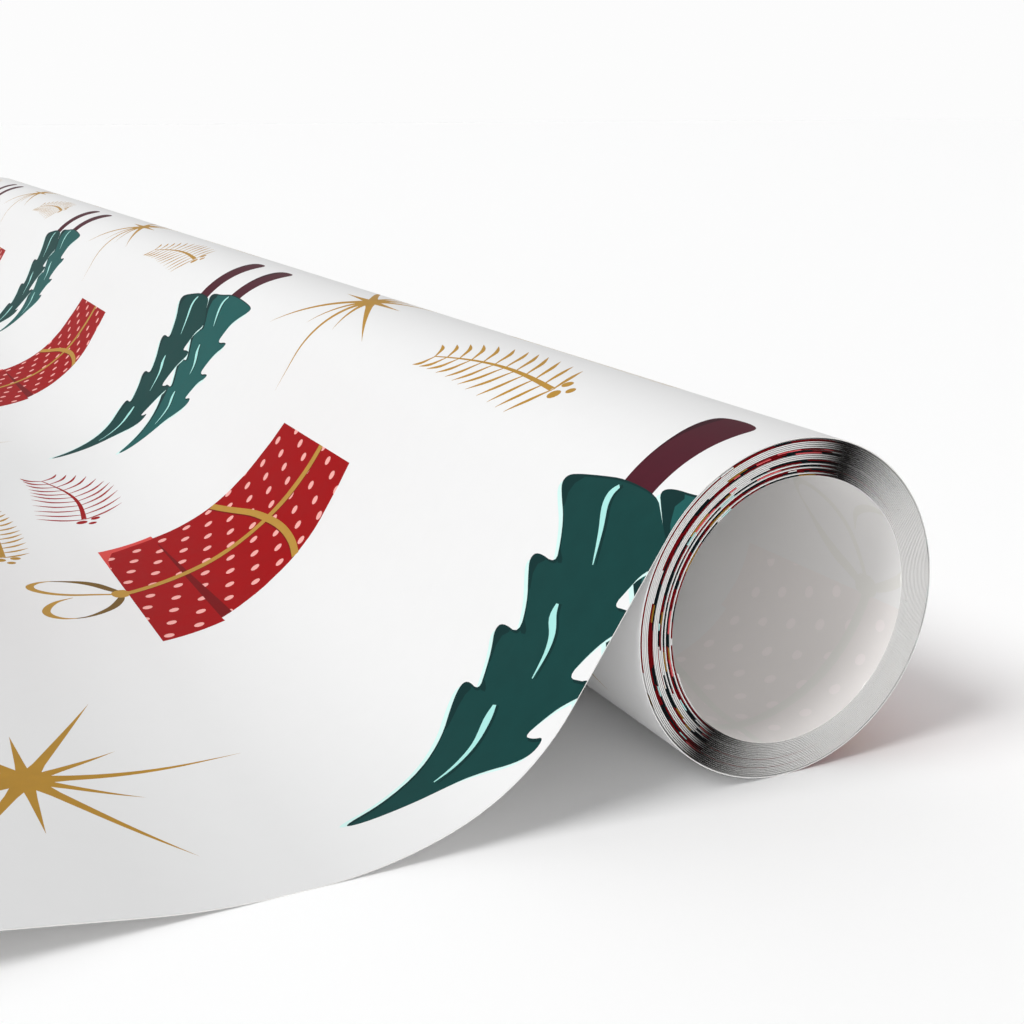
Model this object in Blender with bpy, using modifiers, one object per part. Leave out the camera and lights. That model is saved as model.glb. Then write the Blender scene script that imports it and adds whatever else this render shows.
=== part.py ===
"""Wrapping paper roll: a coreless coil of gift wrap with its leader drawn off and laid down.

The whole object is one continuous sheet of paper.  Here the sheet is divided where it flexes
or slips: the coil into nested groups of turns, and the leader into strips along its length.
Units are metres, +Z is up.  The coil's axis runs along Y, and the leader leaves towards -X.
The origin is on the table, under the middle of the object's box.
"""
import math

import bmesh
import bpy
from mathutils import Matrix, Vector

# Driving dimensions
SHEET_WIDTH = 0.762          # the paper's width, which is the roll's length
COIL_RADIUS = 0.024          # outside of the last full turn
BORE_RADIUS = 0.0186         # inside of the first turn, there is no core
COIL_SIDES = 64              # flats around the coil
GAP = 0.0003                 # clearance between neighbouring solids
WRAP_THICKNESS = 0.0005      # last full turn, which the leader grows out of
LEADER_THICKNESS = 0.0004    # leader strips
RELEASE_ANGLE = math.radians(147)    # where the leader leaves the coil, from +X towards +Z
ARC_SEGMENTS = 8             # segments in a bent strip

# The coil rests on a flat, so its axis is one apothem above the table.
AXIS_HEIGHT = COIL_RADIUS * math.cos(math.pi / COIL_SIDES)

# The turns inside the last one, as equal nested groups from the bore outwards
TURN_GROUPS = ("core_turns", "inner_turns", "middle_turns", "outer_turns")
GROUP_PITCH = (COIL_RADIUS - WRAP_THICKNESS - BORE_RADIUS) / len(TURN_GROUPS)

# The leader from the release line to the free end: bend radius (None is straight),
# turn in degrees (positive bends it upwards), length of a straight stretch.
# A straight stretch with no length runs down as far as it has to: the first one to where
# the two bends below it bring it level with the table, the last one to the table itself.
UPPER_BEND = 0.0336
LOWER_BEND = 0.0516
LEADER_STRIPS = (
    ("leader_drop", ((None, 0, None),)),
    ("leader_upper_sweep", ((UPPER_BEND, 37, 0.0),)),
    ("leader_lower_sweep", ((LOWER_BEND, 20, 0.0),)),
    ("leader_touchdown", ((None, 0, 0.0041),)),
    ("leader_rise", ((0.0912, 10, 0.0), (None, 0, 0.0302))),
    ("leader_front_crest", ((0.12, -10, 0.0),)),
    ("leader_back_crest", ((0.12, -14, 0.0),)),
    ("leader_tail", ((None, 0, None),)),
)

PAPER_WHITE = (0.86, 0.86, 0.85, 1.0)
PAPER_BACK = (0.72, 0.71, 0.70, 1.0)


def clear_scene():
    for old in list(bpy.data.objects):
        bpy.data.objects.remove(old, do_unlink=True)


def make_collection(name):
    collection = bpy.data.collections.new(name)
    bpy.context.scene.collection.children.link(collection)
    return collection


def make_material(name, colour, roughness):
    material = bpy.data.materials.new(name)
    material.use_nodes = True
    shader = material.node_tree.nodes["Principled BSDF"]
    shader.inputs["Base Color"].default_value = colour
    shader.inputs["Roughness"].default_value = roughness
    shader.inputs["Metallic"].default_value = 0.0
    return material


def link_object(name, mesh, collection, material):
    obj = bpy.data.objects.new(name, mesh)
    mesh.materials.append(material)
    collection.objects.link(obj)
    return obj


def turned_ring(name, inner_radius, outer_radius, collection, material):
    """A ring of turns: a rectangle turned about the coil's axis."""
    half = SHEET_WIDTH / 2
    corners = (
        (outer_radius, half),
        (outer_radius, -half),
        (inner_radius, -half),
        (inner_radius, half),
    )
    bm = bmesh.new()
    verts = [bm.verts.new((radius, 0.0, height)) for radius, height in corners]
    for first, second in zip(verts, verts[1:] + verts[:1]):
        bm.edges.new((first, second))
    mesh = bpy.data.meshes.new(name)
    bm.to_mesh(mesh)
    bm.free()
    ring = link_object(name, mesh, collection, material)
    screw = ring.modifiers.new("turn", "SCREW")
    screw.steps = COIL_SIDES
    screw.render_steps = COIL_SIDES
    screw.use_merge_vertices = True
    screw.merge_threshold = 0.00001
    # The turned axis is laid along Y, with a flat of the coil facing the table.
    half_side = math.pi / COIL_SIDES
    ring.matrix_world = Matrix.Rotation(math.pi / 2, 4, "X") @ Matrix.Rotation(half_side, 4, "Z")
    return ring


def descent():
    """Height that the two concave bends take up, from the release heading to level."""
    steep = RELEASE_ANGLE - math.pi / 2
    middle = math.radians(20)
    upper = UPPER_BEND * (math.cos(middle) - math.cos(steep))
    lower = LOWER_BEND * (1 - math.cos(middle))
    return upper + lower


def leader_stretches():
    """The leader's underside as stretches: strip, start point, heading, bend radius, turn, length.

    Points are (x, z) from the coil's axis above the table; a heading is the angle below -X.
    """
    radius = COIL_RADIUS + GAP
    x = radius * math.cos(RELEASE_ANGLE)
    z = AXIS_HEIGHT + radius * math.sin(RELEASE_ANGLE)
    heading = RELEASE_ANGLE - math.pi / 2
    stretches = []
    for name, moves in LEADER_STRIPS:
        for bend, turn, length in moves:
            angle = math.radians(turn)
            if bend:
                length = bend * abs(angle)
            elif length is None:
                lowest = 0.0 if stretches else descent()
                length = (z - lowest) / math.sin(heading)
            stretches.append((name, x, z, heading, bend, angle, length))
            x, z = point_along(stretches[-1], length)
            heading -= angle
    return stretches


def point_along(stretch, distance):
    """Point of a stretch at a distance from its start."""
    _, x, z, heading, bend, angle, length = stretch
    if not bend:
        return x - distance * math.cos(heading), z - distance * math.sin(heading)
    side = math.copysign(bend, angle)
    turned = heading - angle * distance / length
    dx = side * (math.sin(heading) - math.sin(turned))
    dz = side * (math.cos(turned) - math.cos(heading))
    return x - dx, z - dz


def strip_points(name, stretches):
    """Underside outline of one strip, drawn back by half a gap at each end."""
    own = [stretch for stretch in stretches if stretch[0] == name]
    points = []
    for index, stretch in enumerate(own):
        length = stretch[6]
        first = GAP / 2 if index == 0 else 0.0
        last = length - GAP / 2 if index == len(own) - 1 else length
        count = ARC_SEGMENTS if stretch[4] else 1
        for step in range(count + 1):
            if index and step == 0:
                continue
            points.append(point_along(stretch, first + (last - first) * step / count))
    return points


def leader_strip(name, points, hinge, collection, material):
    """A strip of the leader: its outline drawn out across the width, then thickened upwards."""
    pivot_x, pivot_z = hinge
    bm = bmesh.new()
    half = SHEET_WIDTH / 2
    verts = [bm.verts.new((x - pivot_x, -half, z - pivot_z)) for x, z in points]
    edges = [bm.edges.new(pair) for pair in zip(verts, verts[1:])]
    drawn = bmesh.ops.extrude_edge_only(bm, edges=edges)["geom"]
    far = [item for item in drawn if isinstance(item, bmesh.types.BMVert)]
    bmesh.ops.translate(bm, verts=far, vec=Vector((0.0, SHEET_WIDTH, 0.0)))
    bmesh.ops.recalc_face_normals(bm, faces=bm.faces)
    bm.normal_update()
    if sum(face.normal.z for face in bm.faces) < 0:
        bmesh.ops.reverse_faces(bm, faces=bm.faces)
    mesh = bpy.data.meshes.new(name)
    bm.to_mesh(mesh)
    bm.free()
    strip = link_object(name, mesh, collection, material)
    thicken = strip.modifiers.new("paper", "SOLIDIFY")
    thicken.thickness = LEADER_THICKNESS
    thicken.offset = 1.0
    thicken.use_even_offset = True
    strip.location = (pivot_x, 0.0, pivot_z)
    return strip


def build_coil(coil_x, collection):
    """Nested groups of turns and the last full turn, all about the coil's axis."""
    axis = bpy.data.objects.new("coil_axis", None)
    collection.objects.link(axis)
    axis.location = (coil_x, 0.0, AXIS_HEIGHT)
    rings = []
    for index, name in enumerate(TURN_GROUPS):
        inner = BORE_RADIUS + index * GROUP_PITCH
        outer = inner + GROUP_PITCH - GAP
        material = make_material(name, PAPER_BACK, 0.7)
        rings.append(turned_ring(name, inner, outer, collection, material))
    material = make_material("outer_wrap", PAPER_WHITE, 0.5)
    wrap_inner = COIL_RADIUS - WRAP_THICKNESS
    rings.append(turned_ring("outer_wrap", wrap_inner, COIL_RADIUS, collection, material))
    for ring in rings:
        ring.parent = axis


def build_leader(coil_x, stretches, collection):
    """The strips, each with its origin on the line about which it flexes."""
    starts = {}
    for stretch in stretches:
        starts.setdefault(stretch[0], (stretch[1] + coil_x, stretch[2]))
    hinge = None
    for name, _ in LEADER_STRIPS:
        if name in ("leader_drop", "leader_touchdown", "leader_back_crest"):
            hinge = starts[name]
        points = [(x + coil_x, z) for x, z in strip_points(name, stretches)]
        material = make_material(name, PAPER_WHITE, 0.5)
        leader_strip(name, points, hinge, collection, material)


def main():
    clear_scene()
    collection = make_collection("wrapping_paper_roll")
    stretches = leader_stretches()
    free_end = point_along(stretches[-1], stretches[-1][6] - GAP / 2)[0]
    # The coil stands to the +X side, so that the object's box is centred on the origin.
    coil_x = -(free_end + AXIS_HEIGHT) / 2
    build_coil(coil_x, collection)
    build_leader(coil_x, stretches, collection)
    bpy.context.view_layer.update()


main()
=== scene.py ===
"""Looks of the wrapping paper roll: one printed sheet, wound into a coreless coil, with its
leader drawn off over the top, down to the table and away in a shallow wave.

The sheet is described by two lengths: y across its width, from the near end face, and s along
it, from the line where the leader leaves the coil (positive towards the free end, negative
back into the coil).  The print is drawn flat in (y, s), in millimetres, and cut into the
sheet's own faces, so that it bends with the paper.
"""
import math
import random

import bpy
import numpy as np
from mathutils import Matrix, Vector, geometry


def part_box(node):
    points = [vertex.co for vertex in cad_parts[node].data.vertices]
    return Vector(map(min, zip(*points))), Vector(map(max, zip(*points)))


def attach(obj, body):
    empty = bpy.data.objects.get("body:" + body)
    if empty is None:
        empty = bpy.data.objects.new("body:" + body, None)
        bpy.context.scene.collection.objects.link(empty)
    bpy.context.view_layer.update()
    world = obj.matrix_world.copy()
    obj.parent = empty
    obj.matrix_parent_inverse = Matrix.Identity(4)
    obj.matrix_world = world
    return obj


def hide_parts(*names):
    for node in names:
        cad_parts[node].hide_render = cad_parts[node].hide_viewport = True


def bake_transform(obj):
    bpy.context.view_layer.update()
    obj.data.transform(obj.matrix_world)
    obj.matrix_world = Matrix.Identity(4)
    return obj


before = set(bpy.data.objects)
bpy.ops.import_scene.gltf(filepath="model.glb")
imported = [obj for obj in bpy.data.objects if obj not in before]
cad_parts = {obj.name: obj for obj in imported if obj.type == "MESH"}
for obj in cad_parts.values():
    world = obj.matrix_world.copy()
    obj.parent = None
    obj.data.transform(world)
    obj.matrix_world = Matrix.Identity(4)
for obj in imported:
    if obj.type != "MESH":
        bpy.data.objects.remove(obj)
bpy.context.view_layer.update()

MM = 0.001

# Where the coil is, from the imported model
WRAP_LOW, WRAP_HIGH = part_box("outer_wrap")
AXIS_X = (WRAP_LOW.x + WRAP_HIGH.x) / 2
AXIS_Z = (WRAP_LOW.z + WRAP_HIGH.z) / 2
NEAR_Y = WRAP_LOW.y
WIDTH = (WRAP_HIGH.y - WRAP_LOW.y) / MM

# The sheet and how it is wound, in millimetres
PAPER = 0.12                 # thickness
PITCH = 0.245                # radial distance from turn to turn
RELEASE = math.radians(147)  # polar angle of the release line, seen from the near end
BOTTOM_TURN = (RELEASE + math.pi / 2) / (2 * math.pi)
# The last turn's outer face touches the table under the axis.
RELEASE_RADIUS = AXIS_Z / MM - PAPER + PITCH * BOTTOM_TURN
# Turns wound back from the release line at which one group ends and the next one starts.
# They are staggered, so that their gaps don't line up, and the sheet ends low in the bore.
GROUP_ENDS = (1.07, 6.23, 11.31, 16.42, 20.86)
# Bodies and nodes of the groups from the outside in, and how far each is drawn inwards, so
# that a spiral can turn or slide inside the next one.
GROUPS = (
    ("outer_turns", 0.12),
    ("middle_turns", 0.13),
    ("inner_turns", 0.14),
    ("core_turns", 0.15),
)

# The leader's stretches: bend radius (None is straight), turn in degrees (positive bends it
# upwards), length.  A straight stretch without a length runs down as far as it has to.
UPPER_BEND = 33.6
LOWER_BEND = 51.6
LOWER_TURN = 20
LEADER = (
    (None, 0, None),
    (UPPER_BEND, 37, 0),
    (LOWER_BEND, LOWER_TURN, 0),
    (None, 0, 4.1),
    (91.2, 10, 0),
    (None, 0, 30.2),
    (120.0, -10, 0),
    (120.0, -14, 0),
    (None, 0, None),
)


# ---------------------------------------------------------------- the path of the sheet

def leader_stretches():
    """(start s, x, z, heading, bend radius, turn, length) from the release line outwards."""
    x = RELEASE_RADIUS * math.cos(RELEASE)
    z = AXIS_Z / MM + RELEASE_RADIUS * math.sin(RELEASE)
    heading = RELEASE - math.pi / 2
    middle = math.radians(LOWER_TURN)
    upper_drop = UPPER_BEND * (math.cos(middle) - math.cos(heading))
    drop = upper_drop + LOWER_BEND * (1 - math.cos(middle))
    found = []
    start = 0.0
    for bend, turn, length in LEADER:
        angle = math.radians(turn)
        if bend:
            length = bend * abs(angle)
        elif length is None:
            lowest = 0.0 if found else drop
            length = (z - lowest) / math.sin(heading)
        found.append((start, x, z, heading, bend, angle, length))
        x, z, heading = along_stretch(found[-1], length)
        start += length
    return found


def along_stretch(stretch, distance):
    """x, z and heading at a distance from a stretch's start."""
    _, x, z, heading, bend, angle, length = stretch
    if not bend:
        return x - distance * math.cos(heading), z - distance * math.sin(heading), heading
    side = math.copysign(bend, angle)
    turned = heading - angle * distance / length
    dx = side * (math.sin(heading) - math.sin(turned))
    dz = side * (math.cos(turned) - math.cos(heading))
    return x - dx, z - dz, turned


STRETCHES = leader_stretches()
LEADER_LENGTH = STRETCHES[-1][0] + STRETCHES[-1][6]


def turned_back(s):
    """Angle wound back from the release line to a negative s, along the spiral."""
    wound = -s
    root = RELEASE_RADIUS ** 2 - PITCH * wound / math.pi
    return (RELEASE_RADIUS - math.sqrt(root)) * 2 * math.pi / PITCH


def wound_back(angle):
    """The s, zero or negative, that lies an angle back from the release line."""
    return -(RELEASE_RADIUS * angle - PITCH * angle ** 2 / (4 * math.pi))


def back_and_normal(s, squeeze=0.0):
    """A point of the paper's back, (x, z) in mm from the coil's axis, and the normal there."""
    if s < 0:
        angle = turned_back(s)
        radius = RELEASE_RADIUS - PITCH * angle / (2 * math.pi) - squeeze
        polar = RELEASE - angle
        nx, nz = math.cos(polar), math.sin(polar)
        return (radius * nx, AXIS_Z / MM + radius * nz), (nx, nz)
    stretch = [piece for piece in STRETCHES if piece[0] <= s + 1e-6][-1]
    x, z, heading = along_stretch(stretch, min(s, LEADER_LENGTH) - stretch[0])
    return (x, z), (-math.sin(heading), math.cos(heading))


def place(y, s, lift, squeeze=0.0):
    """World position of the sheet's point (y, s), at a height above the paper's back."""
    (x, z), (nx, nz) = back_and_normal(s, squeeze)
    return Vector((AXIS_X + (x + nx * lift) * MM, NEAR_Y + y * MM, (z + nz * lift) * MM))


# ---------------------------------------------------------------- flat shapes of the print

THINNEST = 0.04              # width that a stroke never goes under


def rounded(points, times=2):
    """A closed outline with its corners cut, which rounds it."""
    for _ in range(times):
        cut = []
        for (ax, ay), (bx, by) in zip(points, points[1:] + points[:1]):
            cut.append((0.75 * ax + 0.25 * bx, 0.75 * ay + 0.25 * by))
            cut.append((0.25 * ax + 0.75 * bx, 0.25 * ay + 0.75 * by))
        points = cut
    return points


def smooth_line(points, steps=4):
    """An open line through the points, as a Catmull-Rom curve.  Each point has any values."""
    padded = [points[0]] + list(points) + [points[-1]]
    line = []
    for p0, p1, p2, p3 in zip(padded, padded[1:], padded[2:], padded[3:]):
        for step in range(steps):
            t = step / steps
            line.append(tuple(
                0.5 * (2 * b + (c - a) * t + (2 * a - 5 * b + 4 * c - d) * t * t
                       + (3 * b - a - 3 * c + d) * t ** 3)
                for a, b, c, d in zip(p0, p1, p2, p3)))
    line.append(tuple(points[-1]))
    return line


def stroke(points, steps=4):
    """The outline of a pen stroke through (y, s, width) points."""
    line = smooth_line(points, steps)
    left, right = [], []
    for index, (y, s, width) in enumerate(line):
        before = line[max(index - 1, 0)]
        after = line[min(index + 1, len(line) - 1)]
        dy, ds = after[0] - before[0], after[1] - before[1]
        size = math.hypot(dy, ds) or 1.0
        half = max(width, THINNEST) / 2
        left.append((y - ds / size * half, s + dy / size * half))
        right.append((y + ds / size * half, s - dy / size * half))
    return left + right[::-1]


def disc(y, s, radius, sides=12):
    return [(y + radius * math.cos(2 * math.pi * i / sides),
             s + radius * math.sin(2 * math.pi * i / sides)) for i in range(sides)]


def shifted(points, dy, ds):
    return [(y + dy, s + ds) for y, s in points]


# ---------------------------------------------------------------- the motifs, in one cell

# Outlines are (y, s) points.  Pen strokes are (y, s, width) points.

CELL_Y = 222.0               # repeat across the sheet
CELL_S = 228.0               # repeat along it, with a second set half a cell over
BEFORE_CELL, AFTER_CELL = 60, 130      # how far a cell's motifs reach to either side along s
HALF_CELLS = range(-40, 4)             # from the sheet's inner end to its free end
CELL_COLUMNS = range(-2, 5)

# How far the trees' second inks are moved from the first, (y, s)
BARK_SHADE = (7.6, -0.4)
GLOW = (0.3, 0.9)
LIT_SIDE = (-0.6, 0.3)
BESIDE_LIGHT = (-0.7, -0.2)
BESIDE_WIDTH = 0.9           # width of the dark stroke beside a light one, as a share of it

DARK_TREE = (
    (7.0, -4.6), (15.5, -4.9), (21.0, -3.9), (26.2, -2.8), (28.4, -2.0), (28.7, -0.6),
    (26.8, 1.2), (23.8, 3.6), (21.2, 7.0), (19.6, 9.9), (25.2, 9.6), (26.3, 11.0),
    (24.6, 13.0), (21.2, 16.4), (19.0, 20.8), (24.2, 20.7), (25.2, 22.2), (23.4, 24.6),
    (21.8, 27.6), (20.2, 30.4), (24.2, 30.2), (24.8, 31.8), (22.8, 34.8), (19.2, 38.4),
    (15.9, 43.6), (13.4, 50.6), (12.2, 56.2), (11.2, 56.4), (10.2, 48.6), (8.8, 41.8),
    (6.4, 38.0), (3.0, 34.6), (1.4, 32.0), (1.7, 29.6), (3.4, 30.8), (5.4, 31.2),
    (3.2, 26.4), (0.6, 23.6), (-1.8, 21.6), (-1.6, 20.4), (0.8, 21.0), (4.1, 21.8),
    (2.6, 18.0), (0.6, 14.6), (-2.6, 11.8), (-2.6, 10.4), (0.2, 10.4), (3.0, 10.9),
    (1.9, 8.0), (0.8, 5.2), (-2.6, 2.8), (-1.2, 1.2), (3.4, -2.2),
)
DARK_TRUNK = (
    (6.6, -19.6), (6.8, -21.8), (9.0, -22.8), (12.6, -22.8), (15.6, -21.8), (16.0, -18.6),
    (15.4, -12.0), (15.5, -2.0), (15.5, 3.0), (8.4, 3.0), (8.4, -2.0), (7.6, -11.0),
)
DARK_TREE_TIPS = (
    ((23.5, -3.5), (27.6, -2.6), (28.7, -1.2), (27.0, 1.0), (24.6, 2.8), (26.2, -0.6)),
    ((21.8, 9.7), (25.6, 9.7), (26.2, 11.2), (24.4, 13.2), (21.6, 15.6), (24.2, 11.6)),
    ((20.9, 20.8), (24.6, 20.8), (25.1, 22.4), (23.2, 24.8), (21.6, 27.2), (23.2, 22.8)),
    ((21.9, 30.4), (24.3, 30.3), (24.7, 32.0), (22.4, 35.2), (19.0, 38.4), (22.4, 32.6)),
    ((20.6, 7.6), (21.6, 6.4), (19.7, 9.7), (18.0, 9.3)),
    ((20.2, 18.2), (19.2, 20.6), (17.2, 20.2)),
    ((21.0, 28.4), (20.4, 30.2), (18.4, 29.9)),
)
DARK_TREE_LIGHTS = (
    ((15.6, -3.6, 0.7), (16.3, -2.2, 1.3), (15.9, -0.2, 1.3), (13.9, 3.0, 0.9),
     (11.6, 7.5, 0.2)),
    ((14.4, 14.4, 0.6), (13.9, 16.2, 1.5), (12.0, 18.2, 1.3), (11.1, 20.8, 0.8),
     (11.0, 24.6, 0.2)),
    ((15.0, 30.5, 0.7), (14.2, 32.6, 1.5), (12.5, 36.2, 0.9), (11.8, 39.8, 0.6),
     (11.6, 43.6, 0.2)),
)
LIGHT_TREE = (
    (207.0, -7.7), (215.0, -7.9), (222.0, -6.6), (227.4, -6.3), (229.2, -5.2), (226.6, -3.2),
    (221.8, 0.6), (218.5, 4.0), (224.4, 4.0), (225.6, 5.4), (221.6, 8.8), (217.0, 13.0),
    (222.4, 12.4), (224.0, 13.8), (220.6, 17.2), (217.6, 20.7), (222.4, 20.4), (223.4, 21.8),
    (220.6, 25.2), (218.2, 31.0), (216.4, 37.6), (215.0, 41.8), (213.9, 42.2), (213.0, 40.2),
    (211.8, 35.6), (209.9, 31.2), (207.8, 28.2), (203.6, 25.2), (200.4, 22.9), (198.9, 21.0),
    (199.7, 19.9), (203.4, 21.2), (201.6, 18.0), (199.9, 15.6), (196.8, 14.0), (196.7, 12.7),
    (202.4, 14.0), (201.2, 10.4), (199.2, 7.4), (196.0, 5.2), (195.7, 3.7), (202.3, 5.1),
    (201.0, 1.4), (199.6, -0.9), (196.6, -3.3), (194.2, -5.2), (194.6, -6.5), (200.0, -7.2),
)
LIGHT_TRUNK = (
    (205.4, -19.8), (205.6, -22.0), (208.0, -22.9), (212.2, -22.8), (215.2, -21.8),
    (215.8, -18.8), (215.2, -12.4), (215.4, -4.0), (215.4, 0.0), (208.2, 0.0), (208.2, -4.0),
    (207.2, -12.0),
)
LIGHT_TREE_TIPS = (
    ((223.4, -6.3), (227.6, -6.2), (229.0, -5.2), (226.0, -2.8), (219.6, 2.6), (218.6, 3.8),
     (217.9, 3.0), (224.6, -3.4)),
    ((222.0, 4.0), (224.8, 4.2), (225.4, 5.6), (217.6, 12.6), (216.4, 12.3), (222.8, 6.4)),
    ((219.8, 12.6), (223.2, 12.6), (223.6, 14.0), (217.9, 20.4), (216.6, 20.0), (221.6, 14.6)),
    ((219.4, 20.7), (222.6, 20.6), (223.2, 21.8), (220.4, 25.2), (218.0, 31.0), (216.4, 37.0),
     (215.6, 37.0), (218.6, 26.6)),
)
LIGHT_TREE_LIGHTS = (
    ((215.7, -6.9, 0.7), (216.3, -5.4, 1.2), (215.4, -3.4, 1.1), (213.4, -0.8, 0.8),
     (211.6, 1.7, 0.2)),
    ((214.2, 7.4, 0.6), (213.4, 9.2, 1.3), (211.2, 11.2, 1.2), (209.8, 13.0, 0.8),
     (209.4, 15.2, 0.2)),
    ((213.2, 20.8, 0.6), (213.0, 22.4, 1.4), (211.8, 24.6, 1.1), (212.0, 27.4, 0.7),
     (212.7, 30.6, 0.2)),
)

PARCEL = (
    (97.0, 13.0), (135.8, 13.0), (137.0, 17.5), (139.2, 22.8), (142.0, 29.0), (143.6, 35.2),
    (144.9, 42.0), (145.7, 50.1), (147.3, 50.2), (146.8, 61.6), (89.5, 61.6), (90.0, 50.2),
    (91.7, 50.3), (94.0, 44.0), (95.5, 38.0), (96.1, 31.0), (96.1, 24.5), (96.4, 17.5),
)
PARCEL_FOLD = (
    (92.4, 48.1), (100.0, 48.4), (116.0, 49.1), (131.0, 49.7), (141.0, 50.0), (141.0, 50.2),
    (118.0, 50.3), (91.9, 50.3),
)
PARCEL_EDGE = (
    (145.4, 50.2), (147.3, 50.2), (146.8, 61.6), (133.5, 61.6), (140.0, 60.8), (144.4, 59.2),
    (145.3, 55.0),
)
RIBBON_DOWN = (
    (112.7, 13.0, 1.8), (113.0, 17.6, 1.9), (114.3, 22.6, 1.9), (116.9, 29.0, 1.8),
    (118.4, 34.4, 1.7), (119.2, 40.0, 1.8), (119.3, 49.0, 1.9), (118.8, 56.0, 1.8),
    (117.9, 62.4, 1.7),
)
RIBBON_ACROSS = (
    (96.0, 32.6, 1.68), (100.6, 31.2, 1.6), (106.2, 30.4, 1.52), (112.0, 30.3, 1.52),
    (118.0, 30.8, 1.52), (125.0, 31.8, 1.44), (132.4, 33.6, 1.44), (138.0, 35.0, 1.44),
    (143.6, 36.3, 1.44),
)
KNOT = ((116.3, 61.4), (120.2, 61.4), (120.9, 63.2), (119.6, 64.6), (117.0, 64.4), (115.9, 63.0))
BOW_BACKS = (
    ((117.2, 62.8, 1.0), (114.6, 63.8, 1.6), (111.6, 65.6, 1.7), (109.4, 68.2, 1.3),
     (108.1, 70.9, 0.7), (107.9, 73.2, 0.4)),
    ((119.6, 63.0, 1.1), (122.4, 64.4, 1.6), (125.8, 66.1, 1.8), (128.6, 68.4, 1.5),
     (130.5, 71.2, 0.8), (131.6, 74.0, 0.4)),
)
BOW_FRONTS = (
    ((107.9, 72.8, 0.3), (108.4, 74.9, 0.8), (110.2, 76.8, 1.4), (112.9, 77.4, 1.5),
     (116.0, 76.4, 1.4), (118.6, 74.4, 0.9), (120.0, 71.4, 0.2)),
    ((131.6, 73.6, 0.3), (131.2, 76.0, 0.9), (129.4, 77.8, 1.5), (126.8, 77.6, 1.5),
     (124.0, 75.2, 1.3), (121.8, 71.6, 1.1), (120.2, 67.6, 0.9), (118.6, 64.0, 0.7)),
)

# Rays of the burst: direction in degrees (0 across the sheet, 90 towards the coil), length
BURST_RAYS = (
    (0, 15.5), (26, 30.6), (58, 16.0), (88, 30.2), (118, 16.3), (147, 31.0),
    (180, 16.5), (207, 28.6), (240, 15.0), (270, 30.5), (300, 16.0), (328, 32.0),
)
BURST_PLACE = (150.0, -22.0)
BURST_CORE = 2.6                       # radius of its middle
LONG_RAY = 20                          # a ray longer than this is wider
RAY_WIDTH, LONG_RAY_WIDTH = 1.15, 1.5
WAIST_AT, WAIST_WIDTH = 2.2, 0.55      # where a ray narrows, in core radii, and by how much

# Sprigs: place (y, s), length, reach of the needles, ink, pairs of needles
SPRIGS = (
    (52.0, -14.5, 42.0, 9.5, "gold", 11),
    (173.0, 59.5, 40.0, 12.0, "red", 10),
    (150.0, 80.0, 56.0, 7.0, "gold", 16),
)
BERRIES = ((-2.2, 0.9, 1.25), (-1.2, -2.3, 1.05), (-4.3, -1.1, 0.9))   # y, s, radius

DOT_RADIUS = 0.92
DOT_Y, DOT_S = 104.3, 39.3             # the first dot
DOT_COLUMNS, DOT_ROWS = range(-4, 10), range(-8, 8)
DOT_STEP_Y, DOT_STEP_S = 5.45, 5.66    # the dots' spacing
DOT_SLANT = -1.86                      # how far each column of dots is shifted
DOT_BULGE, BULGE_S = 0.005, 41.0       # how much the rows bow with the parcel's sides, and where
DOT_SPAN_Y, DOT_SPAN_S = (89.0, 148.0), (12.0, 62.5)   # where dots can be on the parcel
RIBBON_SHADE = 0.25                    # how far a ribbon's dark edge shows beside it


class Print:
    """Shapes of ink in drawing order; a later shape covers an earlier one."""

    def __init__(self):
        self.shapes = []

    def add(self, ink, points, within=None):
        self.shapes.append((ink, list(points), within))
        return len(self.shapes) - 1


def draw_tree(art, dy, ds, body, trunk, tips, lights, green):
    """A fir: its trunk, a glow beside it, its body with a dark rim, dark tips and highlights."""
    shade = "teal_shade"
    bark = rounded(list(trunk), 3)
    stem = art.add("trunk", shifted(bark, dy, ds))
    art.add("trunk_shade", shifted(bark, dy + BARK_SHADE[0], ds + BARK_SHADE[1]), stem)
    outline = rounded(list(body), 2)
    art.add("mint_glow", shifted(outline, dy + GLOW[0], ds + GLOW[1]))
    whole = art.add(shade, shifted(outline, dy, ds))
    art.add(green, shifted(outline, dy + LIT_SIDE[0], ds + LIT_SIDE[1]), whole)
    for tip in tips:
        art.add(shade, shifted(rounded(list(tip), 1), dy, ds), whole)
    for light in lights:
        beside = [(y + BESIDE_LIGHT[0], s + BESIDE_LIGHT[1], width * BESIDE_WIDTH)
                  for y, s, width in light]
        art.add(shade, shifted(stroke(beside), dy, ds), whole)
        art.add("mint", shifted(stroke(light), dy, ds), whole)


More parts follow.
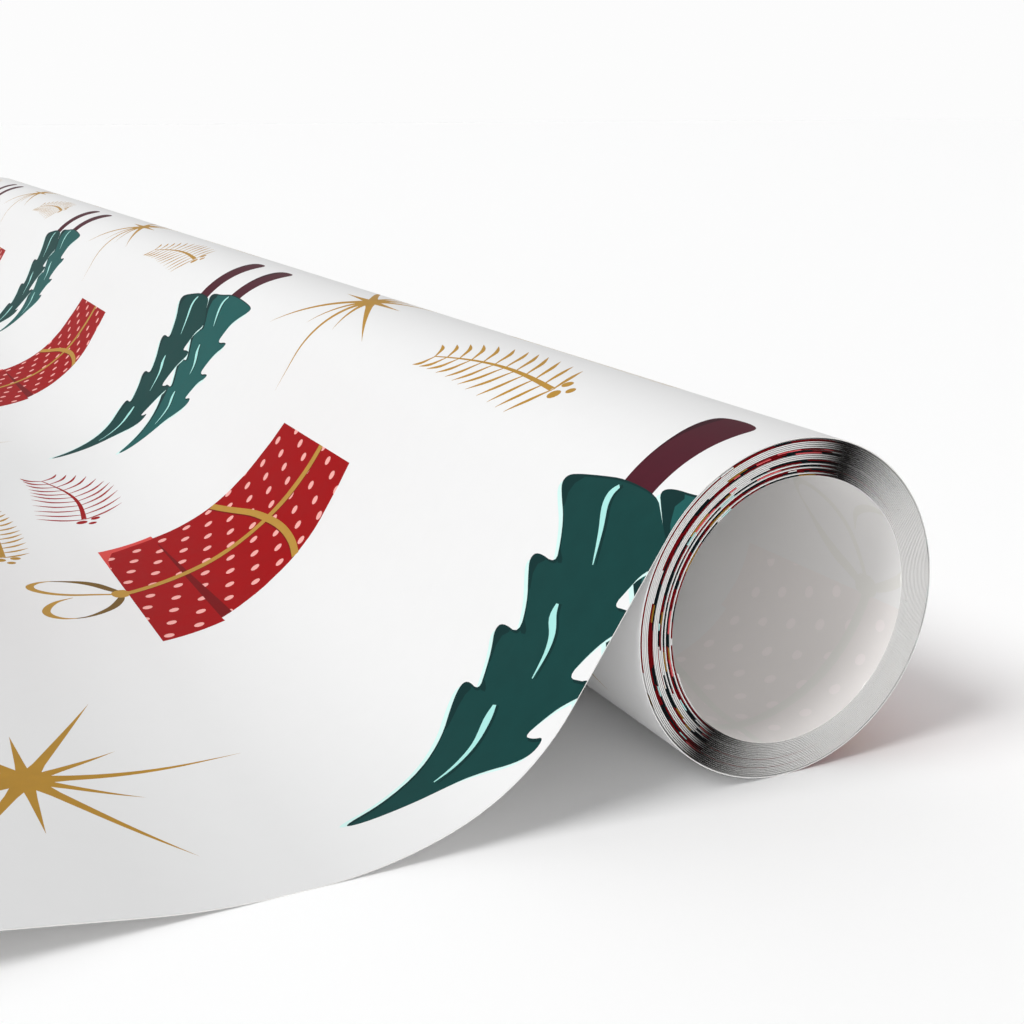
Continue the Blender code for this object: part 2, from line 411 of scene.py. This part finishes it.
def draw_parcel(art, dy, ds):
    """A dotted parcel with a folded edge, two ribbons and a bow."""
    whole = art.add("red", shifted(PARCEL, dy, ds))
    for column in DOT_COLUMNS:
        for row in DOT_ROWS:
            s = DOT_S + DOT_SLANT * column + DOT_STEP_S * row
            y = DOT_Y + DOT_STEP_Y * column - DOT_BULGE * (s - BULGE_S) ** 2
            if DOT_SPAN_S[0] < s < DOT_SPAN_S[1] and DOT_SPAN_Y[0] < y < DOT_SPAN_Y[1]:
                art.add("dot", shifted(disc(y, s, DOT_RADIUS), dy, ds), whole)
    art.add("dark_red", shifted(PARCEL_FOLD, dy, ds), whole)
    art.add("pale_red", shifted(PARCEL_EDGE, dy, ds), whole)
    for ribbon in (RIBBON_DOWN, RIBBON_ACROSS):
        edge = [(y - RIBBON_SHADE, s + RIBBON_SHADE, width) for y, s, width in ribbon]
        art.add("dark_red", shifted(stroke(edge, 3), dy, ds), whole)
    for ribbon in (RIBBON_ACROSS, RIBBON_DOWN):
        art.add("ribbon", shifted(stroke(ribbon, 3), dy, ds))
    for back in BOW_BACKS:
        art.add("brown", shifted(stroke(back), dy, ds))
    for front in BOW_FRONTS:
        art.add("ribbon", shifted(stroke(front), dy, ds))
    art.add("ribbon", shifted(rounded(list(KNOT), 1), dy, ds))


def draw_burst(art, dy, ds):
    """A burst of thin rays that swell into its middle."""
    for angle, length in BURST_RAYS:
        a = math.radians(angle)
        width = LONG_RAY_WIDTH if length > LONG_RAY else RAY_WIDTH
        wide = (math.sin(a) * width, math.cos(a) * width)
        tip = (dy + length * math.cos(a), ds - length * math.sin(a))
        waist = (dy + BURST_CORE * WAIST_AT * math.cos(a),
                 ds - BURST_CORE * WAIST_AT * math.sin(a))
        art.add("gold", [
            (dy + wide[0], ds + wide[1]),
            (waist[0] + wide[0] * WAIST_WIDTH, waist[1] + wide[1] * WAIST_WIDTH),
            tip,
            (waist[0] - wide[0] * WAIST_WIDTH, waist[1] - wide[1] * WAIST_WIDTH),
            (dy - wide[0], ds - wide[1]),
        ])
    art.add("gold", disc(dy, ds, BURST_CORE, 14))


def draw_sprig(art, dy, ds, length, reach, ink, pairs):
    """A fir sprig with berries at its foot: a bowed stem and pairs of curved needles."""
    stem = []
    for step in range(pairs + 1):
        t = step / pairs
        bow = -0.22 * reach * math.sin(math.pi * t) + 0.25 * reach * t
        stem.append((dy + length * t, ds + bow, 1.15 - 0.85 * t))
    art.add(ink, stroke(stem, 2))
    for step, (y, s, _) in enumerate(stem):
        t = step / pairs
        size = reach * (0.62 + 0.38 * math.sin(math.pi * (0.15 + 0.75 * t))) * (1 - 0.35 * t)
        for side in (1, -1):
            waver = 0.10 * math.sin(5.0 * step + side)
            lean = 0.50 + 0.30 * t + waver
            tip = (y + size * lean, s + side * size * (1.0 - 0.25 * t), 0.1)
            belly = (y + size * lean * 0.30, s + side * size * 0.50, 0.95)
            art.add(ink, stroke([(y - 0.4, s, 0.35), belly, tip]))
    for y, s, radius in BERRIES:
        art.add(ink, disc(dy + y, ds + s, radius))


def draw_cell(art, dy, ds):
    """Every motif of the repeat, moved to one of its places on the sheet."""
    draw_tree(art, dy, ds, LIGHT_TREE, LIGHT_TRUNK, LIGHT_TREE_TIPS, LIGHT_TREE_LIGHTS,
              "light_teal")
    draw_tree(art, dy, ds, DARK_TREE, DARK_TRUNK, DARK_TREE_TIPS, DARK_TREE_LIGHTS, "teal")
    draw_parcel(art, dy, ds)
    draw_burst(art, dy + BURST_PLACE[0], ds + BURST_PLACE[1])
    for y, s, length, reach, ink, pairs in SPRIGS:
        draw_sprig(art, dy + y, ds + s, length, reach, ink, pairs)


def shapes_within(shapes, first, last, bands):
    """The shapes that reach into a stretch of sheet and bands of its width."""
    kept = Print()
    index_of = {None: None}
    for index, (ink, points, within) in enumerate(shapes):
        ys = [p[0] for p in points]
        ss = [p[1] for p in points]
        in_length = max(ss) > first and min(ss) < last
        in_width = any(max(ys) > low and min(ys) < high for low, high in bands)
        if in_length and in_width and within in index_of:
            index_of[index] = kept.add(ink, points, index_of[within])
    return kept.shapes


def print_between(first, last, bands=((0, WIDTH),)):
    """The print between two values of s, over the whole width or over bands of it only."""
    drawn = Print()
    for half_cell in HALF_CELLS:
        ds = half_cell * CELL_S / 2
        if ds - BEFORE_CELL < last and ds + AFTER_CELL > first:
            shift = (half_cell % 2) * CELL_Y / 2
            for column in CELL_COLUMNS:
                draw_cell(drawn, column * CELL_Y + shift, ds)
    return shapes_within(drawn.shapes, first, last, bands)


GHOSTS = {
    "red": "ghost_pink", "pale_red": "ghost_pink", "dark_red": "ghost_pink", "dot": "ghost_dot",
    "ribbon": "ghost_gold", "brown": "ghost_gold", "gold": "ghost_gold",
}
# The parcel that shows through in the bore: its knot's polar angle, and the knot's s in a cell
GHOST_KNOT = math.radians(-5)
KNOT_S = 62.5


def ghost_print(first, last):
    """Parcels and bows that show faintly through the back of the innermost turn."""
    wound = turned_back(last) - RELEASE + GHOST_KNOT
    knot = wound_back(turned_back(last) + (-wound) % (2 * math.pi))
    art = Print()
    for column in range(-1, 4):
        draw_parcel(art, column * CELL_Y - CELL_Y / 2, knot - KNOT_S)
        draw_parcel(art, column * CELL_Y, knot - KNOT_S + CELL_S / 2)
    ghosts = [(GHOSTS[ink], points, within) for ink, points, within in art.shapes]
    return shapes_within(ghosts, first, last, ((0, WIDTH),))


# ---------------------------------------------------------------- cutting and bending the sheet

MERGE_WITHIN = 1e-4          # points of the print closer than this become one


def covers(points, centres):
    """Which of the centres lie inside a closed outline, which may cross itself."""
    turns = np.zeros(len(centres), int)
    cy, cs = centres[:, 0], centres[:, 1]
    for (ay, as_), (by, bs) in zip(points, points[1:] + points[:1]):
        side = (by - ay) * (cs - as_) - (cy - ay) * (bs - as_)
        turns += ((as_ <= cs) & (bs > cs) & (side > 0)).astype(int)
        turns -= ((as_ > cs) & (bs <= cs) & (side < 0)).astype(int)
    return turns != 0


def inks_of(centres, shapes, plain):
    """The ink on each face, from the faces' centres.  The last shape drawn wins."""
    inks = np.full(len(centres), plain, dtype=object)
    covered = []
    for ink, points, within in shapes:
        low, high = np.min(points, axis=0), np.max(points, axis=0)
        near = np.all((centres >= low) & (centres <= high), axis=1)
        mask = np.zeros(len(centres), bool)
        mask[near] = covers(points, centres[near])
        if within is not None:
            mask &= covered[within]
        covered.append(mask)
        inks[mask] = ink
    return inks


def cut_flat(y_lines, s_lines, shapes, plain, edge_points=()):
    """Triangles of a rectangle of sheet, cut along lines and round shapes: points, faces, inks."""
    points, edges = [], []

    def chain(line, closed=False):
        start = len(points)
        points.extend(Vector(p) for p in line)
        edges.extend((start + i, start + i + 1) for i in range(len(line) - 1))
        if closed:
            edges.append((len(points) - 1, start))

    for s in s_lines:
        chain([(y, s) for y in y_lines])
    for y in y_lines:
        chain([(y, s) for s in s_lines])
    points.extend(Vector(p) for p in edge_points)
    for _, outline, _ in shapes:
        chain(outline, True)
    found, _, faces, _, _, _ = geometry.delaunay_2d_cdt(points, edges, [], 0, MERGE_WITHIN,
                                                        False)
    flat = np.array([tuple(p) for p in found])
    corners = np.array(faces)
    centres = flat[corners].mean(axis=1)
    inside = ((centres[:, 0] > y_lines[0]) & (centres[:, 0] < y_lines[-1])
              & (centres[:, 1] > s_lines[0]) & (centres[:, 1] < s_lines[-1]))
    corners, centres = corners[inside], centres[inside]
    used, renamed = np.unique(corners, return_inverse=True)
    return flat[used], renamed.reshape(-1, 3), inks_of(centres, shapes, plain)


def border_edges(faces):
    """Directed edges that only one face has."""
    seen = {}
    for face in faces:
        for a, b in zip(face, np.roll(face, -1)):
            seen[(int(a), int(b))] = True
    return [edge for edge in seen if (edge[1], edge[0]) not in seen]


def sheet_piece(name, y_lines, s_lines, shapes, back_shapes=(), squeeze=0.0, inked_edges=()):
    """One piece of the sheet as a closed, thin solid, with its inks as materials."""
    front, front_faces, front_inks = cut_flat(y_lines, s_lines, shapes, "paper")
    border = border_edges(front_faces)
    edge_points = sorted({tuple(front[i]) for edge in border for i in edge})
    back, back_faces, back_inks = cut_flat(y_lines, s_lines, back_shapes, "back", edge_points)

    verts = [place(y, s, PAPER, squeeze) for y, s in front]
    verts += [place(y, s, 0.0, squeeze) for y, s in back]
    below = {(round(y, 3), round(s, 3)): i + len(front) for i, (y, s) in enumerate(back)}
    faces = [tuple(int(i) for i in face) for face in front_faces]
    inks = list(front_inks)
    ink_beside = {}
    for face, ink in zip(faces, front_inks):
        for a, b in zip(face, face[1:] + face[:1]):
            ink_beside[(a, b)] = ink
    faces += [tuple(int(i) + len(front) for i in face[::-1]) for face in back_faces]
    inks += list(back_inks)
    walls_from = len(faces)
    for a, b in border:
        under_a = below[tuple(np.round(front[a], 3))]
        under_b = below[tuple(np.round(front[b], 3))]
        faces.append((b, a, under_a, under_b))
        ink = ink_beside[(a, b)]
        inks.append(ink if ink in inked_edges else "edge")
    return build_mesh(name, verts, faces, inks, np.vstack([front, back]), walls_from, squeeze)


def build_mesh(name, verts, faces, inks, flat, walls_from, squeeze):
    """The object of one piece, with the sheet's own normals on its two sides."""
    coiled = squeeze > 0
    mesh = bpy.data.meshes.new(name)
    mesh.from_pydata(verts, [], faces)
    names = sorted(set(inks))
    for ink in names:
        mesh.materials.append(material(ink))
    mesh.polygons.foreach_set("material_index", [names.index(ink) for ink in inks])
    mesh.polygons.foreach_set("use_smooth", [True] * len(faces))
    normal_at = {}
    for s in {round(float(s), 4) for s in flat[:, 1]}:
        _, (nx, nz) = back_and_normal(s, squeeze)
        normal_at[s] = Vector((nx, 0, nz))
    keys = [round(float(s), 4) for s in flat[:, 1]]
    loop_normals = []
    uv = mesh.uv_layers.new(name="sheet_uv")
    uv_values = []
    for polygon in mesh.polygons:
        wall = polygon.index >= walls_from
        # A front face looks the way the sheet's normal does, and a back face the other way.
        sense = 1 if polygon.normal.dot(normal_at[keys[polygon.vertices[0]]]) > 0 else -1
        for vertex in polygon.vertices:
            loop_normals.append(polygon.normal if wall else normal_at[keys[vertex]] * sense)
            uv_values.extend((flat[vertex][0] * MM, flat[vertex][1] * MM))
    uv.data.foreach_set("uv", uv_values)
    # painted shade: how dark the cut edges are painted, by polar angle, on the coiled turns
    shade_amount = mesh.attributes.new("painted_edge_shade", "FLOAT", "POINT")
    shade_amount.data.foreach_set("value", [edge_shade_at(s) if coiled else 0.0 for s in flat[:, 1]])
    mesh.normals_split_custom_set(loop_normals)
    piece = bpy.data.objects.new(name, mesh)
    bpy.context.scene.collection.objects.link(piece)
    return piece


WRAP_STEP, LEADER_STEP, COIL_STEP = 1.4, 2.0, 1.3      # cuts along the sheet
COLUMN_STEP = 25.0                                     # cuts across it


def lines_between(first, last, step):
    count = max(1, round((last - first) / step))
    return [first + (last - first) * i / count for i in range(count + 1)]


def path_lines(first, last):
    """Cuts across the sheet from s to s: close over the coil, wider over the leader."""
    marks = [start for start, *_ in STRETCHES if first < start < last]
    lines = [first]
    for a, b in zip([first] + marks, marks + [last]):
        lines += lines_between(a, b, WRAP_STEP if b <= 0 else LEADER_STEP)[1:]
    return lines


# ---------------------------------------------------------------- materials

def linear(red, green, blue):
    """A display colour, 0 to 255, as the linear colour that a shader takes."""
    def channel(value):
        value /= 255
        return value / 12.92 if value <= 0.04045 else ((value + 0.055) / 1.055) ** 2.4
    return (channel(red), channel(green), channel(blue), 1.0)


# Ink: display colour, how much its tone wanders, roughness.  The rim inks are on the cut
# edges, the gap tone is painted shade: dark paint on the faces deep between turns, where shade
# falls, and the ghosts show through.
INKS = {
    "paper": ((223, 223, 223), 0.010, 0.50),
    "back": ((243, 242, 241), 0.012, 0.62),
    "edge": ((221, 220, 218), 0.05, 0.75),
    "teal": ((19, 61, 59), 0.12, 0.50),
    "light_teal": ((29, 84, 82), 0.12, 0.50),
    "teal_shade": ((13, 46, 46), 0.12, 0.50),
    "mint": ((160, 216, 210), 0.03, 0.50),
    "mint_glow": ((198, 228, 224), 0.03, 0.50),
    "trunk": ((72, 24, 36), 0.14, 0.50),
    "trunk_shade": ((52, 16, 27), 0.14, 0.50),
    "red": ((147, 4, 9), 0.10, 0.50),
    "dark_red": ((110, 4, 9), 0.10, 0.50),
    "pale_red": ((200, 70, 66), 0.08, 0.50),
    "dot": ((230, 164, 158), 0.03, 0.50),
    "gold": ((172, 130, 48), 0.14, 0.45),
    "ribbon": ((174, 134, 58), 0.12, 0.45),
    "brown": ((108, 82, 36), 0.14, 0.45),
    "rim_red": ((112, 4, 12), 0.25, 0.6),
    "rim_pink": ((214, 92, 96), 0.2, 0.6),
    "rim_teal": ((8, 22, 26), 0.25, 0.6),
    "rim_mint": ((172, 214, 212), 0.1, 0.6),
    "rim_gold": ((150, 112, 40), 0.2, 0.6),
    # painted shade between the turns, not a colour of the paper
    "gap": ((48, 46, 46), 0.05, 0.9),
    "ghost_pink": ((243, 239, 237), 0.012, 0.62),
    "ghost_dot": ((250, 244, 243), 0.012, 0.62),
    "ghost_gold": ((239, 238, 234), 0.012, 0.62),
}


# Colour of the painted shade on the cut edges
PAINTED_SHADE_TONE = (16, 14, 14)


def painted_shade_over(nodes, links, colour_out):
    """The cut edge's colour, darkened with painted shade in two sectors of the end faces."""
    amount = nodes.new("ShaderNodeAttribute")
    amount.attribute_name = "painted_edge_shade"
    over = nodes.new("ShaderNodeMix")
    over.data_type = "RGBA"
    over.inputs[7].default_value = linear(*PAINTED_SHADE_TONE)
    links.new(amount.outputs["Fac"], over.inputs["Factor"])
    links.new(colour_out, over.inputs[6])
    return over.outputs[2]


PAPER_IOR = 1.45
GLOSS = 0.06                 # specular level of uncoated paper
CLOUD_SCALE = 260.0          # clouds in the tone, per metre of sheet
FIBRE_SCALE = (1800.0, 5200.0, 1.0)
FIBRE_RELIEF, FIBRE_DEPTH = 0.06, 0.00002


def material(ink):
    """Printed or bare paper: fibres and cloudy formation in the tone, gloss and relief."""
    found = bpy.data.materials.get(ink)
    if found:
        return found
    colour, wander, roughness = INKS[ink]
    made = bpy.data.materials.new(ink)
    made.use_nodes = True
    nodes, links = made.node_tree.nodes, made.node_tree.links
    shader = nodes["Principled BSDF"]
    shader.inputs["IOR"].default_value = PAPER_IOR
    shader.inputs["Specular IOR Level"].default_value = GLOSS
    place_node = nodes.new("ShaderNodeUVMap")
    place_node.uv_map = "sheet_uv"

    cloud = nodes.new("ShaderNodeTexNoise")
    cloud.inputs["Scale"].default_value = CLOUD_SCALE
    cloud.inputs["Detail"].default_value = 5.0
    links.new(place_node.outputs["UV"], cloud.inputs["Vector"])
    tone = nodes.new("ShaderNodeMapRange")
    tone.inputs["To Min"].default_value = 1.0 - wander
    tone.inputs["To Max"].default_value = 1.0 + wander
    links.new(cloud.outputs["Fac"], tone.inputs["Value"])
    tint = nodes.new("ShaderNodeMix")
    tint.data_type = "RGBA"
    tint.blend_type = "MULTIPLY"
    tint.inputs["Factor"].default_value = 1.0
    tint.inputs[6].default_value = linear(*colour)
    links.new(tone.outputs["Result"], tint.inputs[7])
    colour_out = tint.outputs[2]
    # the cut edge and rim inks get painted shade in two sectors of the end faces
    if ink in RIM_INKS or ink == "edge":
        colour_out = painted_shade_over(nodes, links, colour_out)
    links.new(colour_out, shader.inputs["Base Color"])

    gloss = nodes.new("ShaderNodeMapRange")
    gloss.inputs["To Min"].default_value = roughness - 0.04
    gloss.inputs["To Max"].default_value = roughness + 0.05
    links.new(cloud.outputs["Fac"], gloss.inputs["Value"])
    links.new(gloss.outputs["Result"], shader.inputs["Roughness"])

    stretch = nodes.new("ShaderNodeMapping")
    stretch.inputs["Scale"].default_value = FIBRE_SCALE
    links.new(place_node.outputs["UV"], stretch.inputs["Vector"])
    fibre = nodes.new("ShaderNodeTexNoise")
    fibre.inputs["Scale"].default_value = 1.0
    fibre.inputs["Detail"].default_value = 3.0
    links.new(stretch.outputs["Vector"], fibre.inputs["Vector"])
    relief = nodes.new("ShaderNodeBump")
    relief.inputs["Strength"].default_value = FIBRE_RELIEF
    relief.inputs["Distance"].default_value = FIBRE_DEPTH
    links.new(fibre.outputs["Fac"], relief.inputs["Height"])
    links.new(relief.outputs["Normal"], shader.inputs["Normal"])
    return made


# ---------------------------------------------------------------- the coil's end faces

# Streaks of print that show between turns at the ends: turns in from the outside
STREAK_TURNS = (1, 6, 7, 8, 12, 13, 15, 17, 18, 20)
STREAK_FROM, STREAK_TO = math.radians(72), math.radians(232)
RUN_ANGLES = (0.03, 0.2)               # shortest and longest run of one ink, in radians
RUN_CHANCE = 0.93                      # how many of the runs are inked
RIM_DEPTH = 0.35                       # how far the ink reaches in from the end
RIM_INKS = ("rim_red", "rim_pink", "rim_teal", "rim_mint", "rim_gold")
RIM_ODDS = (10, 2.2, 8, 0.4, 0.9)
# Sectors of painted shade on the cut edges: polar angle, spread in degrees to either side, depth
PAINTED_SHADE_SECTORS = ((71, 22, 12, 0.99), (233, 12, 30, 0.98))


def rectangle(y0, y1, s0, s1):
    return [(y0, s0), (y1, s0), (y1, s1), (y0, s1)]


def streak_shapes(turn, at_far_end, seed):
    """Short runs of ink along one turn's rim, in the sector that faces the leader."""
    chance = random.Random(seed)
    low, high = (WIDTH - RIM_DEPTH, WIDTH) if at_far_end else (0.0, RIM_DEPTH)
    shapes = []
    angle = 2 * math.pi * turn + RELEASE - STREAK_TO
    last = 2 * math.pi * turn + RELEASE - STREAK_FROM
    while angle < last:
        ink = chance.choices(RIM_INKS, RIM_ODDS)[0]
        run = chance.uniform(*RUN_ANGLES)
        s0, s1 = wound_back(min(angle + run, last)), wound_back(angle)
        if chance.random() < RUN_CHANCE:
            shapes.append((ink, rectangle(low, high, s0, s1), None))
        angle += run
    return shapes


def edge_shade_at(s):
    """How dark the painted shade on the cut edges is at s, 0 to 1, from the two shaded sectors."""
    polar = math.degrees(RELEASE - turned_back(s)) % 360
    shade_amount = 0.0
    for centre, before, after, depth in PAINTED_SHADE_SECTORS:
        off = (polar - centre + 180) % 360 - 180
        shade_amount = max(shade_amount, depth * math.exp(-(off / (after if off > 0 else before)) ** 2))
    return shade_amount


# ---------------------------------------------------------------- the pieces

SEAM_DROP = 16.0             # s of the seams between the leader's pieces
SEAM_FLAT = 99.0
SLIT = 0.15                  # gap between the ends of two groups of turns
PRINTED_RIM = 22.0           # how far in from the ends the coiled turns are printed


def leader_piece(name, first, last):
    columns = lines_between(0.0, WIDTH, COLUMN_STEP)
    return sheet_piece(name, columns, path_lines(first, last), print_between(first, last))


def group_piece(index, name, squeeze):
    """Several turns of the spiral, printed where they show when the coil telescopes."""
    outer_end, inner_end = GROUP_ENDS[index:index + 2]
    first = wound_back(2 * math.pi * inner_end)
    last = wound_back(2 * math.pi * outer_end) - SLIT
    outermost = wound_back(2 * math.pi * (outer_end + 1))
    innermost = wound_back(2 * math.pi * (inner_end - 1))
    rims = ((0.0, PRINTED_RIM), (WIDTH - PRINTED_RIM, WIDTH))
    hidden = (RIM_DEPTH, WIDTH - RIM_DEPTH)
    shapes = print_between(outermost, last, rims)
    # painted shade: dark paint on the front faces deep between the turns
    shapes.append(("gap", rectangle(*hidden, first, outermost), None))
    for turn in range(math.floor(outer_end), math.ceil(inner_end)):
        if turn in STREAK_TURNS:
            for at_far_end in (False, True):
                shapes += streak_shapes(turn, at_far_end, 2 * turn + at_far_end)
    back_shapes = ghost_print(first, innermost) if index == len(GROUPS) - 1 else []
    # painted shade: dark paint on the back faces deep between the turns
    back_shapes.append(("gap", rectangle(*hidden, innermost, last), None))
    columns = [0.0, RIM_DEPTH, PRINTED_RIM, WIDTH - PRINTED_RIM, WIDTH - RIM_DEPTH, WIDTH]
    rows = lines_between(first, last, COIL_STEP)
    return sheet_piece(name, columns, rows, shapes, back_shapes, squeeze, RIM_INKS)


def make_sheet():
    """The outermost turn and the leader, in three pieces split at the leader's seams."""
    wrap_start = wound_back(2 * math.pi * GROUP_ENDS[0])
    wrap = leader_piece("sheet_over_roll", wrap_start, SEAM_DROP)
    slope = leader_piece("sheet_to_table", SEAM_DROP, SEAM_FLAT)
    end = leader_piece("sheet_free_end", SEAM_FLAT, LEADER_LENGTH)
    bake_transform(wrap)
    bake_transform(slope)
    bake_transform(end)
    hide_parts("outer_wrap", "leader_drop")
    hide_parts("leader_upper_sweep", "leader_lower_sweep", "leader_touchdown")
    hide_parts("leader_rise", "leader_front_crest", "leader_back_crest", "leader_tail")


def make_coil():
    """The turns inside the outermost one, in groups that slide out of each other."""
    for index, (name, squeeze) in enumerate(GROUPS):
        piece = group_piece(index, name + "_sheet", squeeze)
        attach(piece, name)
        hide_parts(name)


# ---------------------------------------------------------------- floor, light and camera

FLOOR_HALF = 6.0
FLOOR_TONE = 251
HORIZON, OVERHEAD = 0.975, 0.32        # strength of the dome
HORIZON_TOP, OVERHEAD_FROM = 0.07, 0.22    # heights between which it changes
# Lamps: name, direction towards it, strength, softness in degrees
LAMPS = (
    ("key", (-1.0, -0.05, 1.12), 1.91, 27),
    ("back_fill", (0.15, 0.8, 1.1), 0.62, 70),
    ("front_fill", (-0.28, -1.0, 0.12), 1.72, 45),
)
LENS, SENSOR = 50.735, 36.0
# The camera's place: x from the coil's axis, y from its near end, z above the table
CAMERA_PLACE = (-0.115307, -0.147443, 0.089995)
CAMERA_YAW, CAMERA_PITCH = 26.411, -15.832


def make_floor():
    half = FLOOR_HALF
    mesh = bpy.data.meshes.new("floor")
    mesh.from_pydata([(-half, -half, 0), (half, -half, 0), (half, half, 0), (-half, half, 0)],
                     [], [(0, 1, 2, 3)])
    floor = bpy.data.objects.new("floor", mesh)
    bpy.context.scene.collection.objects.link(floor)
    made = bpy.data.materials.new("studio_floor")
    made.use_nodes = True
    shader = made.node_tree.nodes["Principled BSDF"]
    shader.inputs["Base Color"].default_value = linear(FLOOR_TONE, FLOOR_TONE, FLOOR_TONE)
    shader.inputs["Roughness"].default_value = 0.9
    mesh.materials.append(made)


def make_world():
    """A white dome, at full strength near the horizon and softer overhead."""
    world = bpy.data.worlds.new("studio")
    bpy.context.scene.world = world
    world.use_nodes = True
    nodes, links = world.node_tree.nodes, world.node_tree.links
    direction = nodes.new("ShaderNodeTexCoord")
    split = nodes.new("ShaderNodeSeparateXYZ")
    links.new(direction.outputs["Generated"], split.inputs["Vector"])
    height = nodes.new("ShaderNodeMapRange")
    height.interpolation_type = "SMOOTHSTEP"
    height.inputs["From Min"].default_value = HORIZON_TOP
    height.inputs["From Max"].default_value = OVERHEAD_FROM
    height.inputs["To Min"].default_value = HORIZON
    height.inputs["To Max"].default_value = OVERHEAD
    links.new(split.outputs["Z"], height.inputs["Value"])
    links.new(height.outputs["Result"], nodes["Background"].inputs["Strength"])
    nodes["Background"].inputs["Color"].default_value = (1, 1, 1, 1)


def make_lamp(name, towards, strength, softness):
    data = bpy.data.lights.new(name, "SUN")
    data.energy = strength
    data.angle = math.radians(softness)
    lamp = bpy.data.objects.new(name, data)
    lamp.location = Vector(towards)
    lamp.rotation_euler = Vector(towards).to_track_quat("Z", "Y").to_euler()
    bpy.context.scene.collection.objects.link(lamp)


def make_camera():
    data = bpy.data.cameras.new("camera")
    data.sensor_width = SENSOR
    data.lens = LENS
    data.clip_start = 0.01
    data.clip_end = 50.0
    camera = bpy.data.objects.new("camera", data)
    x, y, z = CAMERA_PLACE
    camera.location = (AXIS_X + x, NEAR_Y + y, z)
    yaw, pitch = math.radians(CAMERA_YAW), math.radians(CAMERA_PITCH)
    ahead = Vector((math.sin(yaw) * math.cos(pitch), math.cos(yaw) * math.cos(pitch),
                    math.sin(pitch)))
    camera.rotation_euler = ahead.to_track_quat("-Z", "Y").to_euler()
    bpy.context.scene.collection.objects.link(camera)
    bpy.context.scene.camera = camera


make_camera()
make_floor()
make_world()
for lamp in LAMPS:
    make_lamp(*lamp)
make_coil()
make_sheet()
bpy.context.scene.view_settings.view_transform = "Standard"
